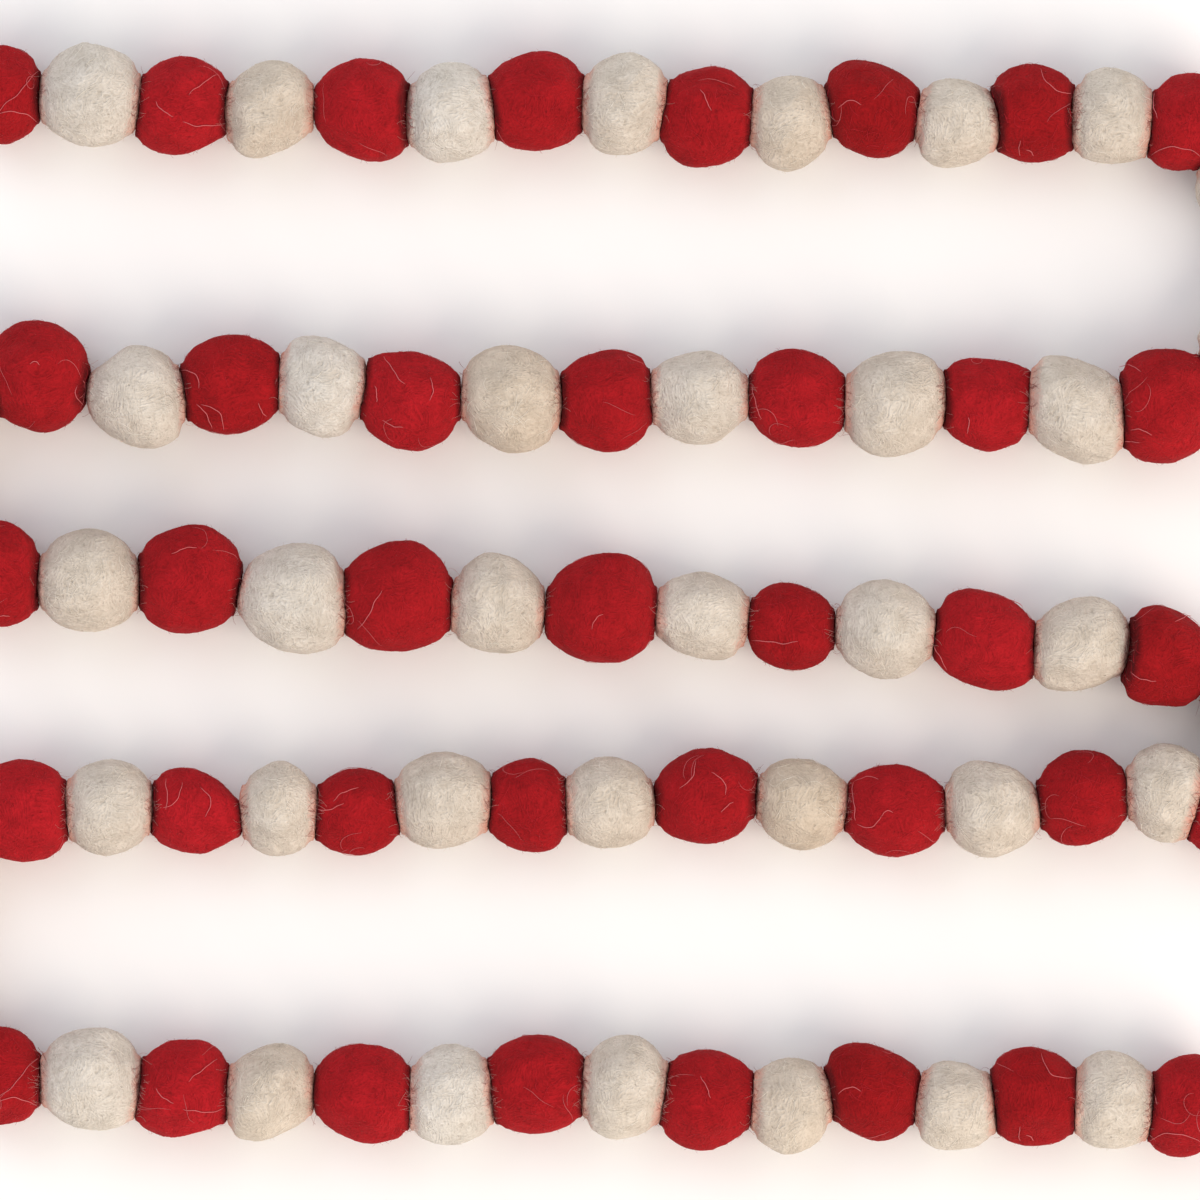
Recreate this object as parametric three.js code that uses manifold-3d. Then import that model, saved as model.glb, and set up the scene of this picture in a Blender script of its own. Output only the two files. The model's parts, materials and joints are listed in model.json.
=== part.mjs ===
// Felt ball garland: red and cream balls of wool felt, strung by turns on one thread and pushed up
// tight, so that each ball is pressed flat against the next. It lies on a flat surface in five
// passes, back and forth, with a bend from each pass into the next.
// Millimetres. The passes run along X, +Y is the far side and +Z is up.
import * as THREE from "three";
import { mergeVertices } from "three/addons/utils/BufferGeometryUtils.js";
import Module from "manifold-3d";

const wasm = await Module();
wasm.setup();

// Balls
const FACE_GAP = 0.3; // between the pressed faces of two neighbours
const TALL = 0.98; // a ball's height as a share of its width
const SETTLE = 0.4; // how much of the underside the surface flattens
const NECK = 7.3; // half width of a pressed face in a bend
const FREE_FACE = 3.0; // half width of the small flat at a free end of the garland
const NECK_SHARE = 0.57; // a usual pressed face's width as a share of its ball's
const RINGS = [0, 0.14, 0.38, 0.62, 0.86, 1]; // where each ball's skin has a ring, along its length
const FULLEST = RINGS[2]; // the ring where a ball reaches its full width
const BALL_SIDES = 8;
const FLATNESS = 0.001; // triangles this close to one plane are joined after a cut

// Thread
const THREAD_RADIUS = 0.6;
const BORE_RADIUS = 1.0;
const BORE_OVERRUN = 0.8; // how far the hole's cutter runs past a face
const THREAD_SIDES = 5;
const KNOT_RADIUS = 1.9;
const TAIL = { out: 7, down: 3 }; // the cut end past each knot

// A short table: the names of its columns, then a row for each thing in it.
const table = (columns, rows) =>
  rows.map((row) => Object.fromEntries(columns.split(" ").map((name, i) => [name, row[i]])));

// A row is a ball, from left to right. long is its length along the thread. far and near are its
// reaches from the pass's line, towards +Y and -Y, and neckFar and neckNear are those of the neck on
// its right, with 0 0 for the last ball. farPeak and nearPeak are how far right of the ball's middle
// its two sides are fullest.
const BALL_COLUMNS = "long far near neckFar neckNear farPeak nearPeak";

const OUTER_BALLS = table(BALL_COLUMNS, [
  [23.5, 16.6, 8.4, 9.7, 3.1, 1.3, 1.3],
  [24.7, 17.1, 9.4, 8.9, 6.6, 1.3, 0.8],
  [23.2, 13.6, 11.2, 7.1, 6.6, 0.6, -1.9],
  [21.7, 12.5, 12.2, 6.4, 5.4, 1.7, -4.7],
  [24.6, 12.9, 13.1, 6.4, 8.9, 1.5, 2.5],
  [20.5, 12.0, 13.0, 8.7, 7.7, 0, 0],
  [23.8, 15.0, 10.2, 8.9, 5.6, 0.6, 0],
  [20.3, 14.8, 11.7, 7.7, 7.7, 0.5, -1.0],
  [22.6, 11.0, 14.5, 5.4, 8.9, -0.6, -1.0],
  [19.3, 8.9, 15.6, 6.1, 6.9, 0, 0],
  [23.2, 12.5, 12.2, 5.4, 7.4, -4.2, 1.6],
  [19.0, 8.2, 14.4, 5.9, 10.7, -1.0, -2.9],
  [20.9, 11.7, 13.4, 6.1, 10.2, -1.7, 0],
  [18.9, 10.7, 13.8, 5.1, 12.0, -1.1, -1.1],
  [21.7, 9.9, 16.3, 0, 0, -0.5, -1.8],
]);

const SECOND_BALLS = table(BALL_COLUMNS, [
  [25.8, 19.9, 8.4, 8.7, 3.1, 0, 1.0],
  [23.8, 14.0, 12.0, 8.9, 5.1, 0, 3.6],
  [25.0, 16.3, 8.4, 11.7, 3.1, 0, 0],
  [21.2, 16.3, 9.8, 10.7, 4.3, -3.0, 2.0],
  [24.9, 12.8, 12.8, 7.4, 4.8, -1.8, 0],
  [25.0, 13.8, 13.3, 7.4, 7.1, -0.5, 2.0],
  [23.7, 12.4, 13.0, 7.7, 5.9, 2.4, 0.6],
  [24.6, 12.4, 11.2, 6.4, 4.8, 0, 0],
  [24.6, 12.8, 12.0, 6.6, 7.7, -1.2, 0],
  [24.9, 13.1, 14.5, 7.4, 7.1, 1.0, -1.0],
  [22.3, 10.7, 13.0, 7.4, 8.2, -2.6, 1.0],
  [23.2, 11.3, 16.3, 6.6, 12.0, -5.2, 2.9],
  [25.8, 13.1, 15.8, 0, 0, -3.6, -2.3],
]);

const MIDDLE_BALLS = table(BALL_COLUMNS, [
  [25.5, 23.5, 3.6, 15.0, -1.3, 2.5, 1.3],
  [25.1, 21.7, 4.3, 15.0, -1.3, 0, 0],
  [25.9, 22.7, 4.7, 13.0, 0.3, 1.0, -0.6],
  [26.6, 18.1, 9.7, 11.2, 5.4, 2.8, 2.0],
  [27.7, 18.7, 9.8, 8.9, 4.1, 1.3, -0.5],
  [23.5, 15.6, 9.9, 6.9, 6.1, -1.8, 0],
  [28.4, 15.6, 12.5, 6.6, 6.4, 1.6, 0.6],
  [23.3, 11.0, 11.7, 4.1, 7.7, -1.0, 3.8],
  [22.4, 7.8, 14.0, 1.3, 8.7, -1.3, 0],
  [25.0, 8.8, 16.3, 1.0, 11.7, -0.5, 0.8],
  [25.9, 6.4, 19.0, -1.8, 16.1, -1.7, 2.4],
  [23.2, 4.6, 19.4, -1.3, 16.1, 1.8, -2.3],
  [22.6, 2.4, 22.6, 0, 0, -4.0, -4.5],
]);

const FOURTH_BALLS = table(BALL_COLUMNS, [
  [26.3, 11.0, 14.7, 5.9, 9.2, 0.9, 2.9],
  [21.2, 11.0, 13.1, 5.4, 7.9, -0.6, -0.9],
  [23.2, 8.9, 12.8, 4.3, 8.9, -3.2, 0],
  [18.7, 11.0, 13.5, 4.6, 9.2, -0.7, 0.3],
  [20.8, 8.9, 13.0, 5.9, 7.7, 0, 0],
  [23.5, 13.3, 11.5, 7.7, 7.4, 0.5, -1.3],
  [19.8, 11.0, 12.0, 6.6, 7.7, 0.6, 2.3],
  [22.2, 11.7, 11.5, 5.9, 5.4, -0.5, -0.5],
  [26.4, 13.9, 10.1, 7.4, 3.6, 0.7, 1.2],
  [22.4, 11.3, 11.5, 5.9, 6.9, -1.0, 0.5],
  [25.6, 9.9, 13.8, 4.3, 6.9, -0.6, -0.6],
  [23.5, 11.0, 13.3, 5.6, 6.6, -1.7, -0.9],
  [22.8, 13.5, 10.7, 9.4, 4.1, 0, -1.3],
  [17.7, 15.3, 9.9, 0, 0, 0, 1.1],
]);

// A row is a ball of the bend, in the thread's order: its middle, its length, its width and half the
// width of the neck that leads on to the next ball.
const BEND_COLUMNS = "x y long wide neckHalf";

// The course of the thread, from the far side to the near side. A pass's line is its Y, and start is
// the X of its left end.
const COURSE = [
  { pass: "pass1", line: 125.0, start: -166.0, balls: OUTER_BALLS, rightwards: true },
  {
    bend: "bend1",
    balls: table(BEND_COLUMNS, [
      [164.2, 105.6, 23, 25.0, NECK],
      [174.7, 85.4, 24, 25.5, NECK],
      [165.8, 64.8, 24, 25.5, NECK],
    ]),
  },
  { pass: "pass2", line: 51.0, start: -156.1, balls: SECOND_BALLS, rightwards: false },
  {
    bend: "bend2",
    balls: table(BEND_COLUMNS, [
      [-166.3, 51.0, 24, 25.5, NECK],
      [-180.5, 33.2, 24, 26.0, NECK],
      [-176.0, 11.2, 23, 25.5, NECK],
    ]),
  },
  { pass: "pass3", line: -3.6, start: -168.3, balls: MIDDLE_BALLS, rightwards: true },
  {
    bend: "bend3",
    balls: table(BEND_COLUMNS, [
      [166.3, -28.8, 24, 25.0, NECK],
      [164.0, -54.6, 24, 26.0, 10.0],
    ]),
  },
  { pass: "pass4", line: -51.8, start: -161.9, balls: FOURTH_BALLS, rightwards: false },
  {
    bend: "bend4",
    balls: table(BEND_COLUMNS, [
      [-168.8, -63.8, 23, 25.5, NECK],
      [-178.5, -84.9, 24, 26.0, NECK],
      [-173.4, -107.1, 24, 25.5, NECK],
    ]),
  },
  { pass: "pass5", line: -125.7, start: -166.0, balls: OUTER_BALLS, rightwards: true },
];

const FELT = {
  red: new THREE.MeshStandardMaterial({ color: 0xa81c25, roughness: 0.95, metalness: 0 }),
  cream: new THREE.MeshStandardMaterial({ color: 0xd9cfc0, roughness: 0.95, metalness: 0 }),
  mixed: new THREE.MeshStandardMaterial({ color: 0xc0766e, roughness: 0.95, metalness: 0 }),
};
const COTTON = new THREE.MeshStandardMaterial({ color: 0xe8e0d0, roughness: 0.9, metalness: 0 });

const UP = new THREE.Vector3(0, 0, 1);
const leftOf = (heading) => new THREE.Vector3(-heading.y, heading.x, 0).normalize();
const flatHeading = (from, to) => new THREE.Vector3(to.x - from.x, to.y - from.y, 0).normalize();

// A ball as it lies: its middle, half its width and where its two sides are fullest.
function ballAt(x, y, long, wide, farPeak = 0, nearPeak = 0) {
  const half = wide / 2;
  const centre = new THREE.Vector3(x, y, half * TALL - SETTLE);
  return { centre, long, half, farPeak, nearPeak };
}

// The balls of a pass in the thread's order, each with the neck that leads on to the next.
function ballsOfPass({ line, start, balls, rightwards }) {
  let right = start;
  const laid = balls.map((row) => {
    const y = line + (row.far - row.near) / 2;
    const wide = row.far + row.near;
    const ball = ballAt(right + row.long / 2, y, row.long, wide, row.farPeak, row.nearPeak);
    right += row.long;
    const neck = {
      x: right,
      y: line + (row.neckFar - row.neckNear) / 2,
      half: (row.neckFar + row.neckNear) / 2,
    };
    return { ball, neck };
  });
  const order = rightwards ? laid : laid.toReversed();
  return order.map(({ ball, neck }, i) => {
    const next = order[i + 1];
    return { ...ball, neck: next && (rightwards ? neck : next.neck) };
  });
}

const ballsOfBend = ({ balls }) =>
  balls.map(({ x, y, long, wide, neckHalf }) => ({ ...ballAt(x, y, long, wide), neckHalf }));

// The pressed face between two neighbours: upright, and square to the line from one to the other.
function faceBetween(a, b) {
  const share = a.long / (a.long + b.long);
  const centre = a.centre.clone().lerp(b.centre, share);
  if (a.neck) centre.set(a.neck.x, a.neck.y, centre.z);
  const half = a.neck?.half ?? a.neckHalf ?? NECK;
  return { centre, heading: flatHeading(a.centre, b.centre), half };
}

// The small flat at a free end of the garland; side is -1 before the ball and 1 after it.
function freeFace(ball, heading, side) {
  const centre = ball.centre.clone().addScaledVector(heading, (side * ball.long) / 2);
  return { centre, heading, half: FREE_FACE };
}

// How full a ball is at a share of its length, from 0 at a pressed face to 1 at its full width: an
// ellipse that the two faces cut.
function fullness(share) {
  const cut = 1 - NECK_SHARE ** 2;
  const swell = (u) => Math.sqrt(1 - cut * (2 * u - 1) ** 2) - NECK_SHARE;
  return Math.min(1, swell(share) / swell(FULLEST));
}

// A closed drum: a ring at each station of a lathed profile, with each vertex then put in its place
// by place(station, across, upwards), where across and upwards are 0 at the middle of an end.
function drum(stations, sides, place) {
  const profile = [
    new THREE.Vector2(0, stations[0]),
    ...stations.map((station) => new THREE.Vector2(1, station)),
    new THREE.Vector2(0, stations.at(-1)),
  ];
  const geometry = new THREE.LatheGeometry(profile, sides, Math.PI / sides);
  const position = geometry.getAttribute("position");
  const vertex = new THREE.Vector3();
  for (let i = 0; i < position.count; i++) {
    vertex.fromBufferAttribute(position, i);
    const placed = place(vertex.y, -vertex.x, vertex.z);
    position.setXYZ(i, placed.x, placed.y, placed.z);
  }
  return geometry;
}

// A manifold-3d solid of a closed geometry, without the flat triangles at a lathe's two ends.
function solidOf(geometry) {
  geometry.deleteAttribute("normal");
  geometry.deleteAttribute("uv");
  const merged = mergeVertices(geometry, 1e-4);
  const { array } = merged.index;
  const triVerts = [];
  for (let i = 0; i < array.length; i += 3) {
    const [a, b, c] = array.slice(i, i + 3);
    if (a !== b && b !== c && c !== a) triVerts.push(a, b, c);
  }
  const vertProperties = new Float32Array(merged.getAttribute("position").array);
  const mesh = new wasm.Mesh({ numProp: 3, vertProperties, triVerts: new Uint32Array(triVerts) });
  return new wasm.Manifold(mesh);
}

// Neighbouring balls of the string as one skin: a single ball, or a whole bend.
function ballSkin(balls, faces) {
  const stations = balls.flatMap((_, i) => RINGS.slice(i > 0 ? 1 : 0).map((ring) => i + ring));
  const outside = 1 / Math.cos(Math.PI / BALL_SIDES);
  const place = (station, across, upwards) => {
    const i = Math.min(Math.floor(station), balls.length - 1);
    const share = station - i;
    const full = fullness(share);
    const [ball, from, to] = [balls[i], faces[i], faces[i + 1]];
    const side = leftOf(from.heading).lerp(leftOf(to.heading), share).normalize();
    const shift = ball.centre.clone().sub(from.centre.clone().lerp(to.centre, 0.5));
    const neck = THREE.MathUtils.lerp(from.half, to.half, share);
    const wide = THREE.MathUtils.lerp(neck, ball.half, full) * outside;
    const tall = THREE.MathUtils.lerp(neck, ball.half * TALL, full) * outside;
    const point = from.centre.clone().lerp(to.centre, share).addScaledVector(shift, full);
    point.addScaledVector(side, across * wide).addScaledVector(UP, upwards * tall);
    const farShare = (1 + side.y * across) / 2;
    point.x += full * THREE.MathUtils.lerp(ball.nearPeak, ball.farPeak, farShare);
    if (station === 0) point.addScaledVector(from.heading, FACE_GAP / 2);
    if (station === balls.length) point.addScaledVector(to.heading, -FACE_GAP / 2);
    point.z = Math.max(point.z, 0);
    return point;
  };
  return drum(stations, BALL_SIDES, place);
}

// A tube of one radius along straight stretches, with mitred corners.
function tube(path, radius) {
  const stations = path.map((_, i) => i);
  const rings = path.map((point, i) => {
    const before = flatHeading(path[Math.max(i - 1, 0)], path[Math.max(i, 1)]);
    const after = flatHeading(path[Math.min(i, path.length - 2)], path[Math.min(i + 1, path.length - 1)]);
    const side = leftOf(before).add(leftOf(after)).normalize();
    return { point, side, mitre: 1 / side.dot(leftOf(after)) };
  });
  const place = (station, across, upwards) => {
    const { point, side, mitre } = rings[station];
    return point
      .clone()
      .addScaledVector(side, across * radius * mitre)
      .addScaledVector(UP, upwards * radius);
  };
  return drum(stations, THREAD_SIDES, place);
}

// The balls of one node, with the hole that the thread runs through.
function threadedBalls(balls, faces) {
  const path = faces.map((face) => face.centre.clone());
  const [first, second] = path;
  const [last, secondLast] = [path.at(-1), path.at(-2)];
  const start = first.clone().addScaledVector(flatHeading(second, first), BORE_OVERRUN);
  const end = last.clone().addScaledVector(flatHeading(secondLast, last), BORE_OVERRUN);
  const bore = tube([start, ...path.slice(1, -1), end], BORE_RADIUS);
  return solidOf(ballSkin(balls, faces)).subtract(solidOf(bore)).asOriginal().simplify(FLATNESS);
}

// The thread through every ball, with a knot against each end ball and its cut end past the knot.
function threadSolid(faces) {
  const endOf = (face, outwards) => {
    const knot = face.centre.clone().addScaledVector(outwards, KNOT_RADIUS + FACE_GAP / 2);
    const tip = knot.clone().addScaledVector(outwards, TAIL.out).addScaledVector(UP, -TAIL.down);
    return { knot, tip };
  };
  const start = endOf(faces[0], faces[0].heading.clone().negate());
  const end = endOf(faces.at(-1), faces.at(-1).heading);
  const centres = faces.map((face) => face.centre);
  const strand = solidOf(tube([start.tip, start.knot, ...centres, end.knot, end.tip], THREAD_RADIUS));
  const knotAt = ({ x, y, z }) => solidOf(new THREE.IcosahedronGeometry(KNOT_RADIUS, 1).translate(x, y, z));
  return strand.add(knotAt(start.knot)).add(knotAt(end.knot));
}

// A named mesh of a solid, with its own middle as its origin.
function meshOf(name, solid, material, middle) {
  const { vertProperties, triVerts } = solid.getMesh();
  const geometry = new THREE.BufferGeometry();
  geometry.setAttribute("position", new THREE.BufferAttribute(vertProperties, 3));
  geometry.setIndex(new THREE.BufferAttribute(triVerts, 1));
  geometry.translate(-middle.x, -middle.y, -middle.z);
  geometry.computeVertexNormals();
  const mesh = new THREE.Mesh(geometry, material);
  mesh.name = name;
  mesh.position.copy(middle);
  return mesh;
}

// Every ball in the thread's order, with the name of its pass or bend.
const string = COURSE.flatMap((section) =>
  (section.pass ? ballsOfPass(section) : ballsOfBend(section)).map((ball) => ({
    ...ball,
    section: section.pass ?? section.bend,
  })),
);

// The pressed faces: one before each ball and one after the last.
const inner = string.slice(1).map((ball, i) => faceBetween(string[i], ball));
const faces = [
  freeFace(string[0], inner[0].heading, -1),
  ...inner,
  freeFace(string.at(-1), inner.at(-1).heading, 1),
];

const garland = new THREE.Group();

// A node holds the balls from one place in the string up to another.
function addBalls(group, name, material, from, upTo) {
  const balls = string.slice(from, upTo);
  const solid = threadedBalls(balls, faces.slice(from, upTo + 1));
  const middle = balls[Math.floor(balls.length / 2)].centre;
  group.add(meshOf(name, solid, material, middle));
}

// Each ball of the first four passes is a piece of its own. A bend's balls are one piece, and so are
// those of the last bend and the last pass together.
const ONE_PIECE_FROM = string.findIndex((ball) => ball.section === "bend4");
for (const { pass, bend } of COURSE) {
  const from = string.findIndex((ball) => ball.section === (pass ?? bend));
  const upTo = string.findLastIndex((ball) => ball.section === (pass ?? bend)) + 1;
  if (from >= ONE_PIECE_FROM) break;
  const group = new THREE.Group();
  garland.add(group);
  if (bend) {
    addBalls(group, `${bend}-balls`, FELT.mixed, from, upTo);
    continue;
  }
  for (let i = from; i < upTo; i++) {
    const colour = i % 2 === 0 ? "red" : "cream";
    const number = String(i - from + 1).padStart(2, "0");
    addBalls(group, `${pass}-ball${number}-${colour}`, FELT[colour], i, i + 1);
  }
}
addBalls(garland, "bend4-pass5-balls", FELT.mixed, ONE_PIECE_FROM, string.length);
garland.add(meshOf("thread", threadSolid(faces), COTTON, faces[0].centre));

// The origin is at the middle of the underside.
const extent = new THREE.Box3().setFromObject(garland);
const middle = extent.getCenter(new THREE.Vector3());
garland.position.set(-middle.x, -middle.y, -extent.min.z);

const part = new THREE.Group();
part.add(garland);
export default part;
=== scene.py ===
"""Looks of the felt ball garland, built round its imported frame.

Every ball of wet-felted wool is read from the frame's solids: the thread's solid gives the places
where neighbours are pressed together, and the flat spot under each ball gives its middle. A round,
lumpy skin is then fitted over each solid, dressed in matted wool, and given its loose fibres.
"""

from __future__ import annotations

import json
import logging
import math
from dataclasses import dataclass, field
from enum import Enum
from typing import NamedTuple

import bpy
import numpy as np
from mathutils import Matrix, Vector
from mathutils.bvhtree import BVHTree

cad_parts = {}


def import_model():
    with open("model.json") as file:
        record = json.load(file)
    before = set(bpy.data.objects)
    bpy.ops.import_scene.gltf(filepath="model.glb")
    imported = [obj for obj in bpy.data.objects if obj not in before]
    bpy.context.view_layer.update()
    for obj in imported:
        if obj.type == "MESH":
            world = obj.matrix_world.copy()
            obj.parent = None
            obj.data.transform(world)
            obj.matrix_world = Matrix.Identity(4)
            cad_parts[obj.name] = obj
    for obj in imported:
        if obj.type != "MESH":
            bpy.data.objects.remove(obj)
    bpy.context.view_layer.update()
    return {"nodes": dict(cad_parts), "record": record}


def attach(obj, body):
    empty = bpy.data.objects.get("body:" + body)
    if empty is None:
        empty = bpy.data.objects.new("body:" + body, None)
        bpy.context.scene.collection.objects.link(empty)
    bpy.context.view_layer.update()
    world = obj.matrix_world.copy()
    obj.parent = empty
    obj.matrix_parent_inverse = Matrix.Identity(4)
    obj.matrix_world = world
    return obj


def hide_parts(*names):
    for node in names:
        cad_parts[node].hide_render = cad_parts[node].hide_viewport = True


LOG = logging.getLogger("garland")
MM = 0.001
SEED = 41
FULL_TURN = 2 * math.pi
ANY_TURN = (0, 6)  # radians, for a wave that may start anywhere
CROSSWAYS = (0.31, 0.2, 0.93)  # a heading that hardly any fibre takes

Tree = bpy.types.NodeTree
Output = bpy.types.NodeSocket


class Colour(Enum):
    """The two colours of wool, which take turns along the thread."""

    RED = "red"
    CREAM = "cream"


class Chance(Enum):
    """What is left to chance. Each has its own random numbers, which are the same on every run."""

    SKIN = 1
    LYING = 3
    FUZZ = 5
    FAINT = 7
    WAVE = 11
    LONG_HAIRS = 13
    CREAM_SEAM = 17
    RED_SEAM = 19
    DULLNESS = 23

    def source(self, number: int = 0) -> np.random.Generator:
        """The random numbers for the ball or seam of this number."""
        return np.random.default_rng(SEED * self.value + number)


def linear(hex_colour: str) -> tuple[float, float, float, float]:
    """Turns an sRGB hex colour into the linear colour that a shader wants.

    Args:
        hex_colour: Six hex digits after a hash sign.

    Returns:
        Linear red, green and blue, with an alpha of 1.
    """
    parts = [int(hex_colour[i : i + 2], 16) / 255 for i in (1, 3, 5)]
    bent = [p / 12.92 if p <= 0.04045 else ((p + 0.055) / 1.055) ** 2.4 for p in parts]
    return (bent[0], bent[1], bent[2], 1.0)


def unit(vectors: np.ndarray) -> np.ndarray:
    """Scales each vector in the last axis to a length of 1."""
    return vectors / np.maximum(np.linalg.norm(vectors, axis=-1, keepdims=True), 1e-12)


def add_node(tree: Tree, kind: str, settings: dict | None = None, **links) -> bpy.types.Node:
    """Adds one shader node with its settings and its inputs.

    Args:
        tree: The material's node tree.
        kind: Blender's name of the node type.
        settings: Properties of the node itself, by name.
        **links: Inputs by name, with _ for a space. Each is a value or another node's output. A name
            that ends in a digit and is no input's name counts the inputs from 0, as in in0.

    Returns:
        The new node.
    """
    node = tree.nodes.new(kind)
    for name, value in (settings or {}).items():
        setattr(node, name, value)
    for name, value in links.items():
        socket = node.inputs[int(name[2:])] if name[:2] == "in" else node.inputs[name.replace("_", " ")]
        if isinstance(value, bpy.types.NodeSocket):
            tree.links.new(value, socket)
        else:
            socket.default_value = value
    return node


def new_material(name: str) -> tuple[bpy.types.Material, bpy.types.Node]:
    """Makes a material with one Principled shader.

    Args:
        name: The material's name.

    Returns:
        The material and its shader node.
    """
    material = bpy.data.materials.new(name)
    material.use_nodes = True
    shader = material.node_tree.nodes["Principled BSDF"]
    return material, shader


@dataclass(frozen=True)
class WetFeltedWool:
    """Wool rolled wet into a hard ball: matt, cloudy in tone, with matted fibres, pits and fine hair.

    Sizes are in millimetres. To the eye it is soft and without any gloss, a little paler at a
    glancing angle, where its hair catches the light.
    """

    name: str
    pale: str
    deep: str
    # colour the small pits are darkened towards: painted shade in the hollows
    pit_shade: str
    painted_crease_shade: str  # painted shade in the crease by a neighbour; on cream, painted shade and red light reflected from the red neighbour
    crease_shade_share: float
    dull: str  # what the dullest ball's colours are multiplied by
    sheen: float
    sheen_tint: str
    relief: float = 0.5  # height of the matted fibres
    cloud: float = 6.0  # size of a cloud of paler or deeper wool
    swirl: float = 9.0  # size of a whorl in the lie of the fibres
    swirl_reach: float = 5.0  # how far a whorl drags them
    fibre_long: float = 3.4
    fibre_wide: float = 0.5
    grain: float = 0.6
    pit_size: float = 1.3
    # What stretch of each noise is spread from 0 to 1: the narrower, the harder its edges.
    fibre_stretch: tuple[float, float] = (0.31, 0.69)
    grain_stretch: tuple[float, float] = (0.28, 0.72)
    cloud_stretch: tuple[float, float] = (0.34, 0.66)
    pit_stretch: tuple[float, float] = (0.60, 0.76)
    patch_stretch: tuple[float, float] = (0.42, 0.58)
    crease_shade_stretch: tuple[float, float] = (0.38, 1.0)
    # What share each has in how pale the wool is and how dark its painted pit shade is, how ragged the
    # painted crease shade's edge is, and the relief.
    cloud_tone: float = 0.34
    fibre_tone: float = 0.40
    grain_tone: float = 0.26
    pit_tone: float = 0.34
    fibre_rag: float = 0.30
    cloud_rag: float = 0.20
    fibre_height: float = 0.55
    grain_height: float = 0.38
    pit_height: float = -0.4
    relief_strength: float = 0.8
    roughness: float = 0.95
    sheen_roughness: float = 0.6
    gloss: float = 0.12

    def build(self) -> bpy.types.Material:
        """Builds the material.

        Returns:
            The wool, with its pattern worked out from each point's place in millimetres.
        """
        material, shader = new_material(self.name)
        tree = material.node_tree
        place = add_node(tree, "ShaderNodeTexCoord").outputs["Object"]
        in_mm = self._moved(tree, "SCALE", place, Scale=1 / MM)
        fibres = self._spread(tree, self._fibres(tree, in_mm), self.fibre_stretch)
        grain = self._spread(tree, self._noise(tree, in_mm, self.grain, detail=1.0), self.grain_stretch)
        clouds = self._spread(tree, self._noise(tree, in_mm, self.cloud, detail=3.0), self.cloud_stretch)
        pits = self._spread(tree, self._noise(tree, in_mm, self.pit_size, detail=3.0), self.pit_stretch)

        tones = [(clouds, self.cloud_tone), (fibres, self.fibre_tone), (grain, self.grain_tone)]
        tone = self._sum(tree, tones, 0.0)
        fresh = self._mix(tree, tone, linear(self.deep), linear(self.pale))
        dullness = self._carried(tree, "dullness")
        wool = self._mix(tree, dullness, fresh, linear(self.dull), blend="MULTIPLY")
        # Painted shade in the small pits, which the relief also sinks.
        pitted = self._mix(tree, self._scaled(tree, pits, self.pit_tone), wool, linear(self.pit_shade))
        # Painted shade in the creases between balls (on cream, also painted red light reflected from the
        # red neighbour), with a ragged edge.
        pressed = self._carried(tree, "pressed")
        rags = [(pressed, 1.0), (fibres, self.fibre_rag), (clouds, self.cloud_rag)]
        ragged = self._sum(tree, rags, -(self.fibre_rag + self.cloud_rag) / 2)
        crease_shade_amount = self._scaled(tree, self._spread(tree, ragged, self.crease_shade_stretch), self.crease_shade_share)
        colour = self._mix(tree, crease_shade_amount, pitted, linear(self.painted_crease_shade))
        tree.links.new(colour, shader.inputs["Base Color"])

        heights = [(fibres, self.fibre_height), (grain, self.grain_height), (pits, self.pit_height)]
        height = self._sum(tree, heights, 0.0)
        reach = {"Strength": self.relief_strength, "Distance": self.relief * MM}
        bump = add_node(tree, "ShaderNodeBump", Height=height, **reach)
        tree.links.new(bump.outputs["Normal"], shader.inputs["Normal"])
        shader.inputs["Roughness"].default_value = self.roughness
        shader.inputs["Specular IOR Level"].default_value = self.gloss
        shader.inputs["Sheen Weight"].default_value = self.sheen
        shader.inputs["Sheen Roughness"].default_value = self.sheen_roughness
        shader.inputs["Sheen Tint"].default_value = linear(self.sheen_tint)
        return material

    def _carried(self, tree: Tree, name: str) -> Output:
        """A value that each corner of the skin carries."""
        return add_node(tree, "ShaderNodeAttribute", {"attribute_name": name}).outputs["Fac"]

    def _moved(self, tree: Tree, operation: str, place: Output, **other) -> Output:
        """A place after one step of arithmetic with another value."""
        settings = {"operation": operation}
        return add_node(tree, "ShaderNodeVectorMath", settings, in0=place, **other).outputs[0]

    def _noise(self, tree: Tree, place: Output, size: float, detail: float) -> Output:
        """A noise whose blotches are about size millimetres across, from 0 to 1."""
        node = add_node(tree, "ShaderNodeTexNoise", Vector=place, Scale=1 / size, Detail=detail)
        return node.outputs["Fac"]

    def _spread(self, tree: Tree, value: Output, stretch: tuple[float, float]) -> Output:
        """A value spread so that a stretch of it runs from 0 to 1, and cut off there."""
        low, high = stretch
        node = add_node(tree, "ShaderNodeMapRange", Value=value, From_Min=low, From_Max=high)
        return node.outputs["Result"]

    def _scaled(self, tree: Tree, value: Output, share: float) -> Output:
        """A value times a number."""
        return add_node(tree, "ShaderNodeMath", {"operation": "MULTIPLY"}, in0=value, in1=share).outputs[0]

    def _sum(self, tree: Tree, terms: list[tuple[Output, float]], start: float) -> Output:
        """Adds values, each times its share, to a starting number."""
        settings = {"operation": "MULTIPLY_ADD"}
        total = start
        for value, share in terms:
            total = add_node(tree, "ShaderNodeMath", settings, in0=value, in1=share, in2=total).outputs[0]
        return total

    def _mix(
        self, tree: Tree, share: Output, one: Output | tuple, other: Output | tuple, blend: str = "MIX"
    ) -> Output:
        """Mixes two colours, or blends them in another way."""
        settings = {"data_type": "RGBA", "blend_type": blend, "clamp_factor": True}
        return add_node(tree, "ShaderNodeMix", settings, in0=share, in6=one, in7=other).outputs[2]

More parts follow.
